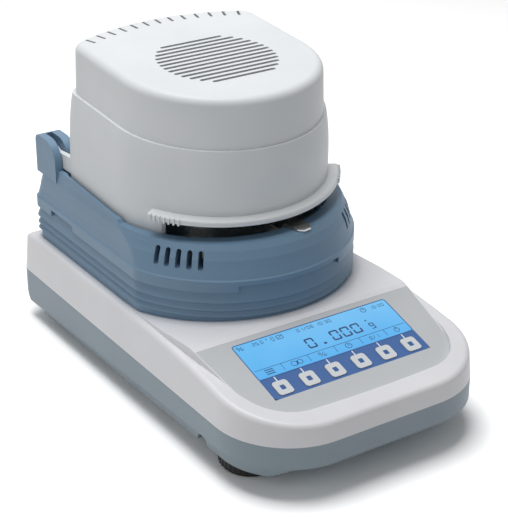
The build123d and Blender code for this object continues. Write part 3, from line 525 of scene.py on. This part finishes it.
class AnalyzerSettings(bpy.types.PropertyGroup):
    """Sizes and colours that a user would change."""

    hood_light: bpy.props.StringProperty(name="Hood colour", description="sRGB hex", default="#ECEFF1")
    case_light: bpy.props.StringProperty(name="Case colour", description="sRGB hex", default="#EEEEF1")
    slate: bpy.props.StringProperty(name="Lower case colour", description="sRGB hex", default="#8E9DA7")
    blue: bpy.props.StringProperty(name="Chamber colour", description="sRGB hex", default="#7391AB")
    panel: bpy.props.StringProperty(name="Panel colour", description="sRGB hex", default="#C3C6C9")
    glow: bpy.props.FloatProperty(name="Backlight", description="Strength of the display", default=0.68)
    digit_height: bpy.props.FloatProperty(
        name="Digit height", description="Height of the large digits in mm", default=9.6
    )
    digit_stroke: bpy.props.FloatProperty(
        name="Digit stroke", description="Width of a large digit's stroke in mm", default=1.25
    )


# Operators


class ANALYZER_OT_finishes(bpy.types.Operator):
    """Makes the finishes and gives one to every part of the analyzer"""

    bl_idname = "analyzer.finishes"
    bl_label = "Finishes"

    def execute(self, context):
        make_materials(context.scene.analyzer)
        dress_nodes()
        return {"FINISHED"}


class ANALYZER_OT_reading(bpy.types.Operator):
    """Draws the large reading on the display"""

    bl_idname = "analyzer.reading"
    bl_label = "Display reading"

    def execute(self, context):
        settings = context.scene.analyzer
        height = settings.digit_height
        stroke = settings.digit_stroke
        low = 4.8
        width = 6.8
        gap = 2
        marks = digits("0", -14.4, low, width, height, stroke, gap)
        marks += [rectangle(-1.4, 5.7, 2.2, 1.8)]
        marks += digits("000", 6.0, low, width, height, stroke, gap)
        marks += digits("9", 37.2, 4.4, 3.9, 6.0, 0.75, 1)
        marks += [rectangle(37.6, 13.6, 1.2, 1.2)]
        finish_print(marks, "display_reading", "segment", SEGMENT_LIFT)
        return {"FINISHED"}


class ANALYZER_OT_status_row(bpy.types.Operator):
    """Draws the small numbers and signs along the top of the display"""

    bl_idname = "analyzer.status_row"
    bl_label = "Display status row"

    def execute(self, context):
        low = 22.2
        tall = 2.9
        stroke = 0.34
        marks = digits("25.0", -49.0, low, 1.9, tall, stroke, 0.75)
        marks += [ring(-37.4, low + 2.6, 0.6, 0.25)]
        marks += digits("01/06 10:30", -13.2, low, 2.1, tall, stroke, 0.85)
        marks += digits("10:00", 48.4, low - 0.6, 1.9, tall, stroke, 0.8)
        marks += [ring(-60.3, 24.6, 1.0, 0.4), ring(-57.6, 22.6, 1.0, 0.4)]
        marks += [bar(-60.6, 21.8, -57.2, 25.4, 0.4)]
        marks += [frame_of(-27.4, 23.3, 5.0, 3.8, 0.6, 0.4), bar(-29.6, 22.2, -25.2, 24.6, 0.35)]
        marks += [frame_of(-33.0, 23.4, 2.2, 4.0, 0.4, 0.35)]
        marks += [ring(42.6, 23.4, 2.3, 0.45), bar(42.6, 23.4, 42.6, 25.0, 0.4)]
        marks += [bar(42.6, 23.4, 43.7, 23.9, 0.4)]
        finish_print(marks, "display_status_row", "segment", SEGMENT_LIFT)
        return {"FINISHED"}


class ANALYZER_OT_menu_row(bpy.types.Operator):
    """Draws the divided row of signs above the keys"""

    bl_idname = "analyzer.menu_row"
    bl_label = "Display menu row"

    def execute(self, context):
        top = 0.9
        divider = 0.35
        line = 0.4
        marks = [bar(-61.5, top, 61.5, top, divider)]
        for x in (-41.4, -20.3, 1.4, 22.5, 43.4):
            marks.append(bar(x, top, x, -5.2, divider))
        for y in (-0.9, -2.8, -4.7):
            marks.append(bar(-55.2, y, -48.6, y, 0.75))
        marks += [ring(-32.6, -2.8, 2.4, line), ring(-27.8, -2.6, 2.1, line)]
        marks += [bar(-30.6, -4.6, -29.6, -1.2, 0.9)]
        marks += [ring(-11.6, -1.7, 1.1, line), ring(-8.4, -4.1, 1.1, line)]
        marks += [bar(-12.0, -4.9, -8.0, -0.9, line)]
        marks += [ring(11.8, -2.8, 2.6, 0.45), bar(11.8, -2.8, 11.8, -1.0, line)]
        marks += [bar(11.8, -2.8, 13.2, -2.6, line)]
        marks += digits("0/1", 29.6, -4.5, 2.0, 3.2, 0.4, 1.0)
        marks += [ring(52.7, -2.9, 2.2, 0.45), bar(52.7, -2.6, 52.7, -0.2, 0.5)]
        finish_print(marks, "display_menu_row", "segment", SEGMENT_LIFT)
        return {"FINISHED"}


class ANALYZER_OT_display_edge(bpy.types.Operator):
    """Draws the dark line round the display"""

    bl_idname = "analyzer.display_edge"
    bl_label = "Display edge"

    def execute(self, context):
        edge = frame_of(0, DISPLAY_MIDDLE_Y, *DISPLAY_EDGE, DISPLAY_EDGE_CORNER, DISPLAY_EDGE_WALL)
        finish_print([edge], "display_edge", "print_blue", EDGE_LIFT)
        return {"FINISHED"}


class ANALYZER_OT_key_marks(bpy.types.Operator):
    """Draws the line that leads from each key to its sign, and each key's middle"""

    bl_idname = "analyzer.key_marks"
    bl_label = "Key marks"

    def execute(self, context):
        leads = []
        for index in range(KEY_COUNT):
            x = (index - (KEY_COUNT - 1) / 2) * KEY_PITCH
            leads.append(bar(x, LEAD_ENDS[0], x, LEAD_ENDS[1], LEAD_WIDTH))
            name = f"key_{index + 1}"
            mark = rectangle(x, KEY_MIDDLE_Y, *KEY_MARK, KEY_MARK_CORNER)
            mark = lay_on_panel(mark, KEY_MARK_LIFT)
            mark = join([mark], f"{name}_mark")
            thicken(mark)
            mark.data.materials.append(MATERIALS["print_blue"])
            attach(mark, name)
        finish_print(leads, "key_lead_lines", "print_white", LEAD_LIFT)
        return {"FINISHED"}


class ANALYZER_OT_studio(bpy.types.Operator):
    """Adds the floor, the soft lamps and the camera"""

    bl_idname = "analyzer.studio"
    bl_label = "Studio"

    def execute(self, context):
        deselect()
        bpy.ops.mesh.primitive_plane_add(size=FLOOR_SIZE, location=(0, 0, -FLOOR_DROP))
        floor = take("studio_floor")
        floor.data.materials.append(white_floor())
        soft_lamp("top_lamp", TOP_LAMP_PLACE, LAMP_AIM, TOP_LAMP_SIZE, TOP_LAMP_POWER)
        soft_lamp("side_lamp", SIDE_LAMP_PLACE, LAMP_AIM, SIDE_LAMP_SIZE, SIDE_LAMP_POWER)
        studio_world()
        add_camera()
        return {"FINISHED"}


def white_floor():
    """Paper that shows burnt-out white to the camera and still keeps the shadow.

    Camera rays see it brighter than the light that it throws back on the analyzer.
    """
    material = bpy.data.materials.new("studio_paper")
    material.use_nodes = True
    tree = material.node_tree
    tree.nodes.clear()
    fibre = noise(tree, object_place(tree), 4, 3)
    paper = mix_colour(tree, fibre, linear("#F0F0F0"), linear("#F4F4F4"))
    gain = (FLOOR_SEEN_GAIN,) * 3
    burnt = add_node(tree, "ShaderNodeVectorMath", {0: paper, 1: gain}, operation="MULTIPLY")
    plain = add_node(tree, "ShaderNodeBsdfDiffuse", {"Color": paper})
    seen = add_node(tree, "ShaderNodeBsdfDiffuse", {"Color": burnt.outputs[0]})
    mixed = add_node(tree, "ShaderNodeMixShader", {0: seen_ray(tree)})
    tree.links.new(plain.outputs[0], mixed.inputs[1])
    tree.links.new(seen.outputs[0], mixed.inputs[2])
    add_node(tree, "ShaderNodeOutputMaterial", {"Surface": mixed.outputs[0]})
    return material


def seen_ray(tree):
    """One for camera, glossy and transmission rays, nought for the rest."""
    path = add_node(tree, "ShaderNodeLightPath")
    inputs = {0: path.outputs["Is Camera Ray"], 1: path.outputs["Is Glossy Ray"]}
    first = add_node(tree, "ShaderNodeMath", inputs, operation="MAXIMUM")
    inputs = {0: first.outputs[0], 1: path.outputs["Is Transmission Ray"]}
    return add_node(tree, "ShaderNodeMath", inputs, operation="MAXIMUM").outputs[0]


def soft_lamp(name, place, aim, size, power):
    """Square area lamp aimed at a point."""
    deselect()
    bpy.ops.object.light_add(type="AREA", location=place)
    lamp = bpy.context.object
    lamp.name = name
    lamp.data.size = size
    lamp.data.energy = power
    lamp.rotation_euler = (Vector(aim) - Vector(place)).to_track_quat("-Z", "Y").to_euler()


def studio_world():
    """White surroundings: white to the camera, softer for the light they give."""
    world = bpy.data.worlds.new("studio_world")
    bpy.context.scene.world = world
    world.use_nodes = True
    tree = world.node_tree
    tree.nodes.clear()
    white = (1, 1, 1, 1)
    seen = add_node(tree, "ShaderNodeBackground", {"Color": white, "Strength": WORLD_SEEN})
    light = add_node(tree, "ShaderNodeBackground", {"Color": white, "Strength": WORLD_LIGHT})
    mixed = add_node(tree, "ShaderNodeMixShader", {0: seen_ray(tree)})
    tree.links.new(light.outputs[0], mixed.inputs[1])
    tree.links.new(seen.outputs[0], mixed.inputs[2])
    add_node(tree, "ShaderNodeOutputWorld", {"Surface": mixed.outputs[0]})


def add_camera():
    """Camera at the photograph's place and angle, level."""
    deselect()
    bpy.ops.object.camera_add(location=CAMERA_PLACE)
    camera = bpy.context.object
    camera.name = "photo_camera"
    camera.rotation_euler = CAMERA_AIM.to_track_quat("-Z", "Y").to_euler()
    camera.data.lens = CAMERA_LENS
    camera.data.sensor_width = CAMERA_SENSOR
    camera.data.clip_start = CAMERA_CLIP
    bpy.context.scene.camera = camera


class ANALYZER_PT_panel(bpy.types.Panel):
    """Lists what the add-on makes"""

    bl_idname = "ANALYZER_PT_panel"
    bl_label = "Moisture Analyzer"
    bl_space_type = "VIEW_3D"
    bl_region_type = "UI"
    bl_category = "Analyzer"

    def draw(self, context):
        column = self.layout.column()
        settings = context.scene.analyzer
        for name in settings.bl_rna.properties.keys():
            if name not in ("rna_type", "name"):
                column.prop(settings, name)
        for operator in OPERATORS:
            column.operator(operator.bl_idname)


OPERATORS = (
    ANALYZER_OT_finishes,
    ANALYZER_OT_display_edge,
    ANALYZER_OT_reading,
    ANALYZER_OT_status_row,
    ANALYZER_OT_menu_row,
    ANALYZER_OT_key_marks,
    ANALYZER_OT_studio,
)


def register():
    for entry in (AnalyzerSettings, *OPERATORS, ANALYZER_PT_panel):
        bpy.utils.register_class(entry)
    bpy.types.Scene.analyzer = bpy.props.PointerProperty(type=AnalyzerSettings)


def unregister():
    del bpy.types.Scene.analyzer
    for entry in reversed((AnalyzerSettings, *OPERATORS, ANALYZER_PT_panel)):
        bpy.utils.unregister_class(entry)


def main():
    register()
    for operator in OPERATORS:
        group, name = operator.bl_idname.split(".")
        getattr(getattr(bpy.ops, group), name)()
    bpy.context.scene.view_settings.view_transform = "Standard"


if __name__ == "__main__":
    main()
